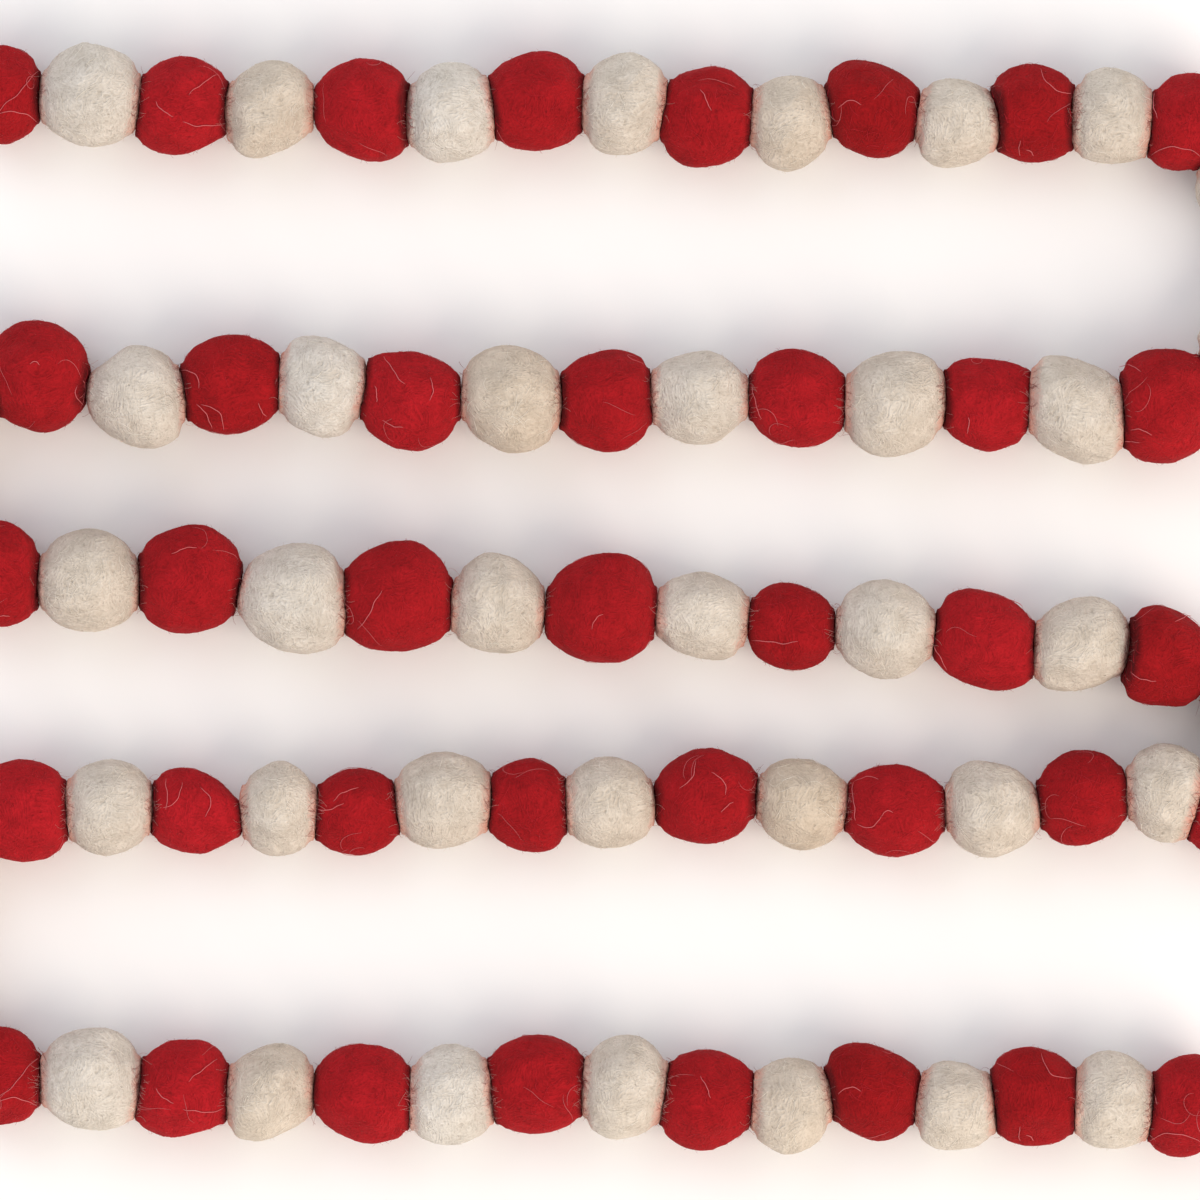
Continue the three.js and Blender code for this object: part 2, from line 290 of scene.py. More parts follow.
    def _fibres(self, tree: Tree, place: Output) -> Output:
        """Matted fibres: two lays of long streaks, dragged round in whorls and crossing in patches."""
        whorl = add_node(tree, "ShaderNodeTexNoise", Vector=place, Scale=1 / self.swirl, Detail=1.0)
        centred = self._moved(tree, "SUBTRACT", whorl.outputs["Color"], in1=(0.5, 0.5, 0.5))
        drag = self._moved(tree, "SCALE", centred, Scale=2 * self.swirl_reach)
        swept = self._moved(tree, "ADD", place, in1=drag)
        across, along = 1 / self.fibre_wide, 1 / self.fibre_long
        lays = []
        for squeeze in ((across, along, across), (along, across, across)):
            streaks = self._moved(tree, "MULTIPLY", swept, in1=squeeze)
            lays.append(self._noise(tree, streaks, 1.0, detail=1.0))
        patch = self._spread(tree, self._noise(tree, place, self.swirl, detail=1.0), self.patch_stretch)
        settings = {"data_type": "FLOAT"}
        return add_node(tree, "ShaderNodeMix", settings, in0=patch, in2=lays[0], in3=lays[1]).outputs[0]


@dataclass(frozen=True)
class LooseWool:
    """Single wool fibres lying on a ball or standing off it: one even colour, matt and thin."""

    name: str
    colour: str
    roughness: float = 0.9
    gloss: float = 0.2

    def build(self) -> bpy.types.Material:
        """Builds the material, which is even because one fibre is too thin to show a pattern."""
        material, shader = new_material(self.name)
        shader.inputs["Base Color"].default_value = linear(self.colour)
        shader.inputs["Roughness"].default_value = self.roughness
        shader.inputs["Specular IOR Level"].default_value = self.gloss
        return material


@dataclass(frozen=True)
class CottonTwine:
    """Spun cotton in three plies: dull and off-white, with darker flecks."""

    name: str
    pale: str
    deep: str
    fleck: float = 0.5  # millimetres
    roughness: float = 0.85

    def build(self) -> bpy.types.Material:
        """Builds the material."""
        material, shader = new_material(self.name)
        tree = material.node_tree
        place = add_node(tree, "ShaderNodeTexCoord").outputs["Object"]
        flecks = add_node(tree, "ShaderNodeTexNoise", Vector=place, Scale=1 / (self.fleck * MM), Detail=2.0)
        settings = {"data_type": "RGBA"}
        pair = {"in6": linear(self.deep), "in7": linear(self.pale)}
        mixed = add_node(tree, "ShaderNodeMix", settings, in0=flecks.outputs["Fac"], **pair)
        tree.links.new(mixed.outputs[2], shader.inputs["Base Color"])
        shader.inputs["Roughness"].default_value = self.roughness
        return material


@dataclass
class Ball:
    """One felt ball as it lies in the frame, in metres.

    The pressed faces are given as a point and a heading that points out of the ball.
    """

    number: int
    node: str
    colour: Colour
    centre: np.ndarray
    faces: list[tuple[np.ndarray, np.ndarray]]
    bore: tuple[np.ndarray, np.ndarray]
    free_heading: np.ndarray | None
    skin: np.ndarray = field(default_factory=lambda: np.zeros((0, 3)))

    def pressed_faces(self) -> list[tuple[int, int, np.ndarray, np.ndarray]]:
        """The pressed faces, each with the number of the ball before it and 1 if that is this ball."""
        if len(self.faces) == 2:
            seams = [(self.number - 1, -1), (self.number, 1)]
        else:
            seams = [(self.number, 1) if self.number == 0 else (self.number - 1, -1)]
        return [(*seam, *face) for seam, face in zip(seams, self.faces)]


class Strung:
    """Reads the balls, in the thread's order, from the frame's solids."""

    ring_reach = 2.4 * MM  # corners of the thread's solid nearer than this are at one place
    ground = 0.02 * MM  # corners lower than this are on the flat spot that a ball lies on

    def __init__(self, nodes: dict[str, bpy.types.Object]) -> None:
        """Reads the frame.

        Args:
            nodes: The frame's solids by name.
        """
        self.meshes = {name: self._arrays(obj) for name, obj in nodes.items()}
        self.trees = {
            name: BVHTree.FromPolygons(points.tolist(), faces)
            for name, (points, faces) in self.meshes.items()
        }
        self.path = self._thread_path()
        self.balls = self._balls()

    def _arrays(self, obj: bpy.types.Object) -> tuple[np.ndarray, list[tuple[int, ...]]]:
        """The corners and faces of a solid."""
        points = np.array([v.co[:] for v in obj.data.vertices])
        return points, [tuple(p.vertices) for p in obj.data.polygons]

    def _thread_path(self) -> np.ndarray:
        """The places where the thread's solid has a ring or a knot, from one cut end to the other."""
        points, faces = self.meshes["thread"]
        place = -np.ones(len(points), int)
        count = 0
        for start in range(len(points)):
            if place[start] >= 0:
                continue
            waiting = [start]
            place[start] = count
            while waiting:
                near = np.linalg.norm(points - points[waiting.pop()], axis=1) < self.ring_reach
                for other in np.flatnonzero(near & (place < 0)):
                    place[other] = count
                    waiting.append(int(other))
            count += 1
        beside: dict[int, set[int]] = {i: set() for i in range(count)}
        for face in faces:
            for a, b in zip(face, face[1:] + face[:1]):
                if place[a] != place[b]:
                    beside[place[a]].add(place[b])
                    beside[place[b]].add(place[a])
        middles = np.array([points[place == i].mean(axis=0) for i in range(count)])
        ends = [i for i, others in beside.items() if len(others) == 1]
        here = max(ends, key=lambda i: middles[i][1])
        order, before = [here], -1
        while True:
            onward = [i for i in beside[here] if i != before]
            if not onward:
                break
            before, here = here, onward[0]
            order.append(here)
        return middles[order]

    def _balls(self) -> list[Ball]:
        """Finds each ball's middle from the flat spot that it lies on, and its pressed faces."""
        stops = self.path[1:-1]
        halfway = (stops[1:] + stops[:-1]) / 2
        spots: list[list[np.ndarray]] = [[] for _ in halfway]
        owners = [""] * len(halfway)
        for name, (points, _) in self.meshes.items():
            if name == "thread":
                continue
            for point in points[points[:, 2] < self.ground]:
                nearest = int(np.argmin(np.linalg.norm(halfway[:, :2] - point[:2], axis=1)))
                spots[nearest].append(point)
                owners[nearest] = name
        centres = np.array([np.unique(np.round(s, 6), axis=0).mean(axis=0) for s in spots])
        for i, centre in enumerate(centres):
            above = Vector((centre[0], centre[1], 1.0))
            hit = self.trees[owners[i]].ray_cast(above, Vector((0, 0, -1)))[0]
            centre[2] = hit.z / 2
        headings = unit((centres[1:] - centres[:-1]) * (1, 1, 0))
        balls = []
        for i, centre in enumerate(centres):
            faces = []
            if i > 0:
                faces.append((stops[i], -headings[i - 1]))
            if i < len(headings):
                faces.append((stops[i + 1], headings[i]))
            free = -headings[0] if i == 0 else headings[-1] if i == len(headings) else None
            colour = Colour.RED if i % 2 == 0 else Colour.CREAM
            bore = (stops[i], stops[i + 1])
            balls.append(Ball(i, owners[i], colour, centre, faces, bore, free))
        return balls


class Sphere:
    """Evenly spread directions with their triangles and neighbours, shared by every ball."""

    def __init__(self, subdivisions: int) -> None:
        """Makes the directions from an icosphere.

        Args:
            subdivisions: How fine the icosphere is.
        """
        bpy.ops.mesh.primitive_ico_sphere_add(subdivisions=subdivisions, radius=1.0)
        obj = bpy.context.active_object
        self.directions = unit(np.array([v.co[:] for v in obj.data.vertices]))
        self.faces = np.array([p.vertices[:] for p in obj.data.polygons])
        near: list[list[int]] = [[] for _ in self.directions]
        for edge in obj.data.edges:
            a, b = edge.vertices
            near[a].append(b)
            near[b].append(a)
        self.near = np.array([n + n[: 6 - len(n)] for n in near])
        mesh = obj.data
        bpy.data.objects.remove(obj)
        bpy.data.meshes.remove(mesh)

    def soften(self, values: np.ndarray, times: int, keep: np.ndarray | None = None) -> np.ndarray:
        """Evens out a value over the sphere.

        Args:
            values: One value for each direction.
            times: How many times each value moves to the middle of its neighbours'.
            keep: Which values stay as they are.

        Returns:
            The softened values.
        """
        for _ in range(times):
            softer = 0.5 * values + 0.5 * values[self.near].mean(axis=1)
            values = softer if keep is None else np.where(keep, values, softer)
        return values


@dataclass
class FeltSkins:
    """The lumpy skins of the balls, fitted over their solids. Sizes in millimetres."""

    strung: Strung
    sphere: Sphere
    bore_reach: float = 1.3  # from the thread, far enough to be past the bore's wall
    gap: float = 0.06  # from a pressed face to the plane between two neighbours
    face_depth: float = 0.6  # a ray that ends nearer to a pressed face than this has met the face
    knot_cosine: float = 0.97  # of the angle round the knot in which an end ball's reach is filled in
    fill_times: int = 260
    soften_times: int = 12
    take_in: float = 0.993  # the corners of the solid stand a little outside the felt
    lumps: int = 18
    lump_height: float = 0.42
    lump_width: float = 0.34  # radians
    knobs: int = 70
    knob_height: float = 0.2
    knob_width: float = 0.13  # radians
    flats: int = 16
    flat_depth: tuple[float, float] = (0.955, 0.992)  # how far out a flat lies, of the ball's reach
    flat_softness: float = 0.28
    rough: float = 0.1  # height of the finest unevenness
    neck: float = 7.3  # how far a pressed face reaches from the thread
    neck_start: float = 0.5  # how far from a pressed face its neck starts to widen
    neck_end: float = 2.3  # and how far from it the ball has its own width
    most_widened: float = 1.1  # how many times its own width a neck may be drawn out to
    rim_steps: int = 24
    rim_depth: float = 0.5  # how far inside a pressed face its rim is measured
    rim_span: float = 0.3  # radians
    waviness: float = 0.3  # height of the waves in a pressed face
    swell: tuple[float, float] = (2.1, 1.7)  # how long its slow waves are, across and up
    ripple: tuple[float, float] = (0.9, 1.1)  # and its quick ones
    ripple_share: float = 0.35
    overlap: tuple[float, float, float] = (-0.2, 0.6, 1.7)  # least, usual and most lap of cream over red
    crease_shade_width: dict[Colour, float] = field(
        default_factory=lambda: {Colour.RED: 2.1, Colour.CREAM: 4.6}
    )  # how far the painted crease shade reaches from a pressed face
    usual_dullness: tuple[float, float] = (0.35, 0.65)  # of a ball that doesn't stand out

    def build(self, wools: dict[Colour, bpy.types.Material], slots: dict[str, str]) -> None:
        """Builds one piece for each solid of balls.

        Args:
            wools: The material for each colour.
            slots: The record's material slot for each node. Not used.
        """
        by_node: dict[str, list[Ball]] = {}
        for ball in self.strung.balls:
            ball.skin = self._skin(ball)
            by_node.setdefault(ball.node, []).append(ball)
        self._round_necks()
        for node, balls in by_node.items():
            obj = self._piece(node, balls, wools)
            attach(obj, "root")
            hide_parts(node)
            LOG.info("%s: %d balls", obj.name, len(balls))

    def _reach(self, ball: Ball) -> np.ndarray:
        """How far the solid reaches from the ball's middle in each direction, without its faces."""
        directions = self.sphere.directions
        tree = self.strung.trees[ball.node]
        missed = 1.0  # metres, further than any face
        starts = self._past_bore(ball)
        hits = [
            tree.ray_cast(Vector(ball.centre + d * start), Vector(d))[3]
            for d, start in zip(directions, starts)
        ]
        reach = starts + np.array([missed if hit is None else hit for hit in hits])
        known = np.ones(len(directions), bool)
        for point, heading in ball.faces:
            facing = directions @ heading
            to_face = (point - ball.centre) @ heading / np.maximum(facing, 1e-6)
            known &= ~((facing > 0) & (reach > to_face - self.face_depth * MM))
        if ball.free_heading is not None:
            known &= directions @ ball.free_heading < self.knot_cosine
        usual = np.median(reach[known])
        reach = np.where(known, reach, usual)
        reach = self.sphere.soften(reach, self.fill_times, known)
        return self.sphere.soften(reach, self.soften_times) * self.take_in

    def _wave(self, points: np.ndarray, seam: int) -> np.ndarray:
        """How far a pressed face is from flat, the same for both neighbours, in metres.

        Args:
            points: Corners near the face.
            seam: The number of the ball before the face.

        Returns:
            How far the face lies on towards the end of the thread at each corner.
        """
        face = self.strung.path[seam + 2]
        rng = Chance.WAVE.source(seam)
        x, y, z = ((points - face) / MM).T
        turn = rng.uniform(*ANY_TURN, 3)
        swell = np.sin((x + y) / self.swell[0] + turn[0]) * np.sin(z / self.swell[1] + turn[1])
        ripple = np.sin((x + y) / self.ripple[0] + z / self.ripple[1] + turn[2])
        wave = (1 - self.ripple_share) * swell + self.ripple_share * ripple
        towards_red = 1 if self.strung.balls[seam].colour is Colour.CREAM else -1
        lean = rng.triangular(*self.overlap) / self.neck
        return (wave * self.waviness + towards_red * lean * np.maximum(z, 0.0)) * MM

    def _past_bore(self, ball: Ball) -> np.ndarray:
        """How far each direction runs from the ball's middle before it is clear of the bore."""
        start, end = ball.bore
        along = unit(end - start)
        off = ball.centre - start
        off = off - (off @ along) * along
        lean = self.sphere.directions - (self.sphere.directions @ along)[:, None] * along
        a = np.maximum((lean**2).sum(axis=1), 1e-6)
        b = lean @ off
        room = b**2 - a * (off @ off - (self.bore_reach * MM) ** 2)
        return np.maximum((np.sqrt(np.maximum(room, 0)) - b) / a, 0) * (room > 0)

    def _skin(self, ball: Ball) -> np.ndarray:
        """The corners of one ball's skin."""
        rng = Chance.SKIN.source(ball.number)
        directions = self.sphere.directions
        reach = self._reach(ball)
        for count, height, width in (
            (self.lumps, self.lump_height, self.lump_width),
            (self.knobs, self.knob_height, self.knob_width),
        ):
            middles = unit(rng.normal(size=(count, 3)))
            heights = rng.uniform(-1, 1, count) * height * MM
            reach = reach + np.exp((directions @ middles.T - 1) / width**2) @ heights
        softness = self.flat_softness * MM
        grazing = 0.05  # a flat's plane is so far off at lower cosines that it doesn't matter
        for middle in unit(rng.normal(size=(self.flats, 3))):
            facing = directions @ middle
            depth = reach[np.argmax(facing)] * rng.uniform(*self.flat_depth)
            plane = depth / np.maximum(facing, grazing)
            reach = -softness * np.logaddexp(-plane / softness, -reach / softness)
        reach = reach + self.sphere.soften(rng.normal(size=len(reach)), 1) * self.rough * MM
        skin = ball.centre + directions * reach[:, None]
        for seam, facing, point, heading in ball.pressed_faces():
            beyond = (skin - point) @ heading + self.gap * MM - facing * self._wave(skin, seam)
            skin = skin - np.maximum(beyond, 0)[:, None] * heading
        return skin

    def _round_necks(self) -> None:
        """Brings each pair of skins to the solids' own width where they are pressed together."""
        balls = self.strung.balls
        turns = np.linspace(-math.pi, math.pi, self.rim_steps, endpoint=False)
        for before, after in zip(balls, balls[1:]):
            point, heading = before.faces[-1]
            inside = heading * self.rim_depth * MM
            first = self._solid_rim(before, point - inside, heading, turns)
            second = self._solid_rim(after, point + inside, heading, turns)
            for ball in (before, after):
                self._widen(ball, point, heading, turns, (first + second) / 2)
        for ball in balls:
            ball.skin[:, 2] = np.maximum(ball.skin[:, 2], 0.0)

    def _widen(
        self, ball: Ball, point: np.ndarray, heading: np.ndarray, turns: np.ndarray, solid: np.ndarray
    ) -> None:
        """Widens a ball's skin near a pressed face, until its rim there is as wide as the solids'.

        Args:
            ball: The ball.
            point: The point on the thread in the face.
            heading: The heading of the thread there.
            turns: Angles round the thread.
            solid: How far the solids' rims reach at each angle, in metres.
        """
        turn, wide, short = self._around(ball.skin, point, heading)
        on_face = np.abs(short) < self.rim_depth * MM
        apart = np.abs((turn[on_face] - turns[:, None] + math.pi) % FULL_TURN - math.pi)
        rim = np.where(apart < self.rim_span, wide[on_face], 0).max(axis=1)
        rim = (rim + np.roll(rim, 1) + np.roll(rim, -1)) / 3
        own = np.interp(turn, turns, rim, period=FULL_TURN)
        wanted = np.interp(turn, turns, solid, period=FULL_TURN)
        near = (self.neck_end - np.abs(short) / MM) / (self.neck_end - self.neck_start)
        near = np.clip(near, 0, 1)
        near = near**2 * (3 - 2 * near)
        stretch = near * (np.minimum(wanted / np.maximum(wide, own), self.most_widened) - 1)
        out = ball.skin - point
        out = out - (out @ heading)[:, None] * heading
        ball.skin = ball.skin + out * stretch[:, None]

    def _solid_rim(
        self, ball: Ball, middle: np.ndarray, heading: np.ndarray, turns: np.ndarray
    ) -> np.ndarray:
        """How far a ball's solid reaches round the thread, just inside a pressed face.

        Args:
            ball: The ball.
            middle: The point on the thread, inside the ball.
            heading: The heading of the thread there.
            turns: Angles round the thread.

        Returns:
            The reach at each angle, in metres.
        """
        aside = np.array((-heading[1], heading[0], 0.0))
        clear = self.bore_reach * MM
        reach = []
        for turn in turns:
            out = aside * math.cos(turn) + np.array((0.0, 0.0, math.sin(turn)))
            hit = self.strung.trees[ball.node].ray_cast(Vector(middle + out * clear), Vector(out))[3]
            reach.append(clear + (self.neck * MM if hit is None else hit))
        return np.array(reach)

    def _around(
        self, skin: np.ndarray, point: np.ndarray, heading: np.ndarray
    ) -> tuple[np.ndarray, np.ndarray, np.ndarray]:
        """Where each corner is round a neck: its turn, how far out it is, and how far along."""
        out = skin - point
        short = out @ heading
        aside = np.array((-heading[1], heading[0], 0.0))
        return np.arctan2(out[:, 2], out @ aside), np.hypot(out[:, 2], out @ aside), short

    def _crease_shade_mask(self, ball: Ball) -> np.ndarray:
        """How near each corner is to a pressed face, from 0 on the open ball to 1 on the face, where the
        crease shade is painted.
        """
        pressed = np.zeros(len(ball.skin))
        width = self.crease_shade_width[ball.colour]
        for seam, facing, point, heading in ball.pressed_faces():
            away = (point - ball.skin) @ heading + facing * self._wave(ball.skin, seam)
            pressed = np.maximum(pressed, np.clip(1 - away / MM / width, 0, 1))
        return pressed

    def _piece(
        self, node: str, balls: list[Ball], wools: dict[Colour, bpy.types.Material]
    ) -> bpy.types.Object:
        """Joins the skins of a node's balls into one object."""
        count = len(self.sphere.directions)
        points = np.concatenate([ball.skin for ball in balls])
        faces = np.concatenate([self.sphere.faces + i * count for i in range(len(balls))])
        obj = mesh_object(f"felt_{node}", points, faces)
        colours = [c for c in Colour if any(ball.colour is c for ball in balls)]
        for colour in colours:
            obj.data.materials.append(wools[colour])
        wanted = [colours.index(ball.colour) for ball in balls]
        obj.data.polygons.foreach_set("material_index", np.repeat(wanted, len(self.sphere.faces)))
        # where the painted crease shade falls, from 0 to 1
        pressed = obj.data.attributes.new("pressed", "FLOAT", "POINT")
        values = np.concatenate([self._crease_shade_mask(ball) for ball in balls]).astype(np.float32)
        pressed.data.foreach_set("value", values)
        dullness = obj.data.attributes.new("dullness", "FLOAT", "POINT")
        values = np.repeat([self._dullness(ball) for ball in balls], count).astype(np.float32)
        dullness.data.foreach_set("value", values)
        return obj

    def _dullness(self, ball: Ball) -> float:
        """How dull or dark a ball is, from 0 for the brightest to 1."""
        known = {number: share for share, numbers in DULLNESS.items() for number in numbers}
        number = ball.number - LAST_PASS if ball.number >= LAST_PASS else ball.number
        usual = Chance.DULLNESS.source(number).uniform(*self.usual_dullness)
        return known.get(number, usual)


def mesh_object(name: str, points: np.ndarray, faces: np.ndarray | list) -> bpy.types.Object:
    """Makes a smooth-shaded object from corners and faces, and puts it in the scene.

    Args:
        name: The object's name.
        points: Corners, in metres.
        faces: Corner numbers of each face.

    Returns:
        The object.
    """
    mesh = bpy.data.meshes.new(name)
    mesh.from_pydata(points.tolist(), [], [tuple(int(i) for i in face) for face in faces])
    mesh.polygons.foreach_set("use_smooth", [True] * len(mesh.polygons))
    mesh.update()
    obj = bpy.data.objects.new(name, mesh)
    bpy.context.scene.collection.objects.link(obj)
    return obj


def tubes(paths: np.ndarray, radii: np.ndarray, sides: int = 3) -> tuple[np.ndarray, np.ndarray]:
    """Makes thin closed tubes along many paths at once.

    Args:
        paths: Points of each path, shaped (paths, points, 3).
        radii: Radius at each point, shaped (paths, points).
        sides: Sides of a tube.

    Returns:
        Corners and triangles of all the tubes.
    """
    count, steps, _ = paths.shape
    ahead = unit(np.gradient(paths, axis=1))
    aside = unit(np.cross(ahead, np.broadcast_to(CROSSWAYS, ahead.shape)))
    above = np.cross(aside, ahead)
    turns = np.arange(sides) * FULL_TURN / sides
    ring = aside[:, :, None] * np.cos(turns)[:, None] + above[:, :, None] * np.sin(turns)[:, None]
    corners = paths[:, :, None] + ring * radii[:, :, None, None]
    one = []
    for step in range(steps - 1):
        for side in range(sides):
            a, b = step * sides + side, step * sides + (side + 1) % sides
            c, d = a + sides, b + sides
            one += [(a, b, d), (a, d, c)]
    last = (steps - 1) * sides
    for side in range(1, sides - 1):
        one += [(0, side + 1, side), (last, last + side, last + side + 1)]
    triangles = np.array(one)[None] + (np.arange(count) * steps * sides)[:, None, None]
    return corners.reshape(-1, 3), triangles.reshape(-1, 3)


def joined(meshes: list[tuple[np.ndarray, np.ndarray]]) -> tuple[np.ndarray, np.ndarray]:
    """Joins meshes, each given by its corners and triangles, into one."""
    starts = np.cumsum([0] + [len(corners) for corners, _ in meshes])
    corners = np.concatenate([corners for corners, _ in meshes])
    triangles = np.concatenate([faces + start for (_, faces), start in zip(meshes, starts)])
    return corners, triangles


class Hair(NamedTuple):
    """One long pale hair, in millimetres to the right and up from its ball's middle, as laid."""

    ball: int
    from_x: float
    from_y: float
    to_x: float
    to_y: float
    bow: float  # how far its middle bows out to the left of its way


# The long pale hairs that show on the red balls.
HAIRS = (
    Hair(0, 10.1, 5.6, 0.3, -5.0, 0.3),
    Hair(0, 0.3, -5.7, 9.7, -7.5, 1.6),
    Hair(2, 2.4, 2.1, 9.6, 7.6, 0.4),
    Hair(2, -6.0, 0.5, -1.4, -3.3, -0.6),
    Hair(2, 0.9, -4.7, 11.1, -5.0, -0.8),
    Hair(4, 8.8, -1.0, 10.6, -2.4, 0.4),
    Hair(8, -1.2, 6.6, 1.4, 1.0, 0.2),
    Hair(10, -7.9, -0.2, -2.1, 0.8, 1.5),
    Hair(12, 2.3, 11.2, 10.6, 5.0, -2.4),
    Hair(12, -3.0, -11.1, -3.0, -7.3, 0.3),
    Hair(12, -1.5, -9.6, 0.4, -11.1, 0.4),
    Hair(14, -9.9, -8.8, 2.9, -9.2, 2.4),
    Hair(14, -8.8, 7.4, -8.1, 0.6, -0.5),
    Hair(18, -10.6, 9.8, -5.4, 8.3, 1.0),
    Hair(18, -8.0, -6.4, -2.7, -7.9, 0.7),
    Hair(18, -10.3, -9.8, -5.7, -9.8, 0.5),
    Hair(20, -4.0, -3.4, -4.4, -7.5, 0.3),
    Hair(22, -10.6, 3.4, -8.3, -5.3, -0.6),
    Hair(26, -6.1, 11.2, -0.8, 3.8, -0.3),
    Hair(26, -8.4, 3.5, -8.0, -0.7, 0.3),
    Hair(26, 5.6, 5.7, 5.6, -0.3, 0.8),
    Hair(26, -6.5, -5.2, -1.2, -7.1, -0.5),
    Hair(28, -8.5, -5.0, -4.7, -11.2, 0.6),
    Hair(28, -7.4, -5.2, -1.7, -11.6, 2.0),
    Hair(28, -12.6, 3.5, -7.8, -1.0, 1.8),
    Hair(28, 7.3, -4.8, 9.2, -8.2, -0.4),
    Hair(30, -1.9, 3.1, 0.5, 2.9, 0.9),
    Hair(30, 9.8, -2.2, 11.3, -7.1, -1.0),
    Hair(30, 11.2, -0.8, 10.4, -5.4, 0.9),
    Hair(34, 1.0, -10.5, 3.6, -10.5, 0.2),
    Hair(36, -4.2, 6.3, 2.2, 8.1, 0.5),
    Hair(38, -4.4, 1.7, -10.4, -8.4, 0.3),
    Hair(40, -3.2, -5.4, -0.4, -1.5, 0.9),
    Hair(42, -9.6, -3.3, 2.1, -3.9, -0.5),
    Hair(44, -13.9, 1.1, -9.9, -7.9, -0.5),
    Hair(44, 3.3, 10.9, 9.4, 8.3, 0.4),
    Hair(46, 5.1, 8.1, 9.6, 9.8, 0.3),
    Hair(46, -6.3, -4.5, 0.2, -6.8, -0.8),
    Hair(52, -10.3, 7.5, -9.6, -2.3, -0.3),
    Hair(52, -9.9, 7.5, -3.9, 8.3, 0.9),
    Hair(52, -9.2, -3.4, -3.2, -0.8, -1.8),
    Hair(52, -3.0, -1.2, -0.3, -0.2, 1.0),
    Hair(54, -3.5, 9.1, -7.6, 2.0, 1.2),
    Hair(54, 0.3, 6.1, 4.1, 0.5, 1.4),
    Hair(54, 2.9, -4.1, 6.0, -1.4, 0.3),
    Hair(58, -10.2, 0.5, -3.0, 2.3, -0.7),
    Hair(58, -5.7, 2.7, 0.8, 6.1, 0.8),
    Hair(60, -6.6, 0.8, -2.0, 7.6, -1.6),
    Hair(60, -6.2, 8.4, -5.8, 0.5, 0.3),
    Hair(60, 2.9, 6.1, 4.0, -1.4, 2.0),
)
LAST_PASS = 66  # number of the last pass's first ball, whose row repeats the first pass's

# Balls that stand out from the rest, by how dull their wool is. The others are near the middle.
DULLNESS = {
    0.05: (5, 27, 60, 62),
    0.2: (1, 2, 26, 37),
    0.3: (4, 20, 23, 29, 44),
    0.7: (3, 9, 28, 42, 50),
    0.85: (12, 25, 46),
    1.0: (10, 53),
}


@dataclass(frozen=True)
class Strands:
    """One kind of fibre that curls over a ball's skin. Sizes in millimetres."""

    chance: Chance
    count: int  # on each ball
    steps: int
    length: float
    curl: float  # how much it turns in all, in radians
    radius: float
    thickness: tuple[float, float]  # of the radius, where the fibre is lowest and where it is highest
    lift: tuple[float, float]  # how far off the skin its highest point is, at least and at most
    sunk: float = 0.0  # how far below the skin it starts
    standing: bool = False  # whether it stands on one end, or else arches from end to end
    fullness: float = 1.0  # the lower, the sooner it rises
    waver: float = 0.45  # how much its turning changes from step to step

    def rise(self) -> np.ndarray:
        """How high each of its points is, from 0 to 1."""
        if self.standing:
            return np.linspace(0, 1, self.steps) ** self.fullness
        return np.sin(np.linspace(0, math.pi, self.steps)) ** self.fullness


LYING = Strands(
    chance=Chance.LYING,
    count=80,
    steps=6,
    length=5.5,
    curl=1.6,
    radius=0.06,
    thickness=(0.45, 1.0),
    lift=(0.0, 0.22),
    sunk=0.03,
)
FUZZ = Strands(
    chance=Chance.FUZZ,
    count=110,
    steps=3,
    length=0.9,
    curl=1.2,
    radius=0.04,
    thickness=(1.0, 0.4),
    lift=(0.25, 0.95),
    sunk=0.05,
    standing=True,
    fullness=0.8,
)
FAINT = Strands(
    chance=Chance.FAINT,
    count=5,
    steps=16,
    length=10.0,
    curl=1.8,
    radius=0.065,
    thickness=(0.3, 1.0),
    lift=(0.05, 0.3),
    fullness=0.6,
)


@dataclass(frozen=True)
class SeamHairs:
    """Short fibres of one colour drawn across the creases between balls. Sizes in millimetres."""

    chance: Chance
    fewest: int
    most: int
    longest: float
    shortest: float = 0.8
    steps: int = 5
    radius: float = 0.045
    rarity: float = 2.5  # the higher, the fewer creases have many
    spread: float = 4.2  # how far from the thread they usually are
    limit: float = 8.5  # and are at most
    start: tuple[float, float] = (-1.4, 0.2)  # where they start, before or past the crease
    slant: float = 1.3
    curl: float = 0.5
    lift: tuple[float, float] = (0.05, 0.5)
    least_lift: float = 0.02
    tip: float = 0.5  # of the radius


SEAM_HAIRS = {
    Colour.CREAM: SeamHairs(Chance.CREAM_SEAM, fewest=4, most=34, longest=3.2),
    Colour.RED: SeamHairs(Chance.RED_SEAM, fewest=20, most=40, longest=2.2),
}


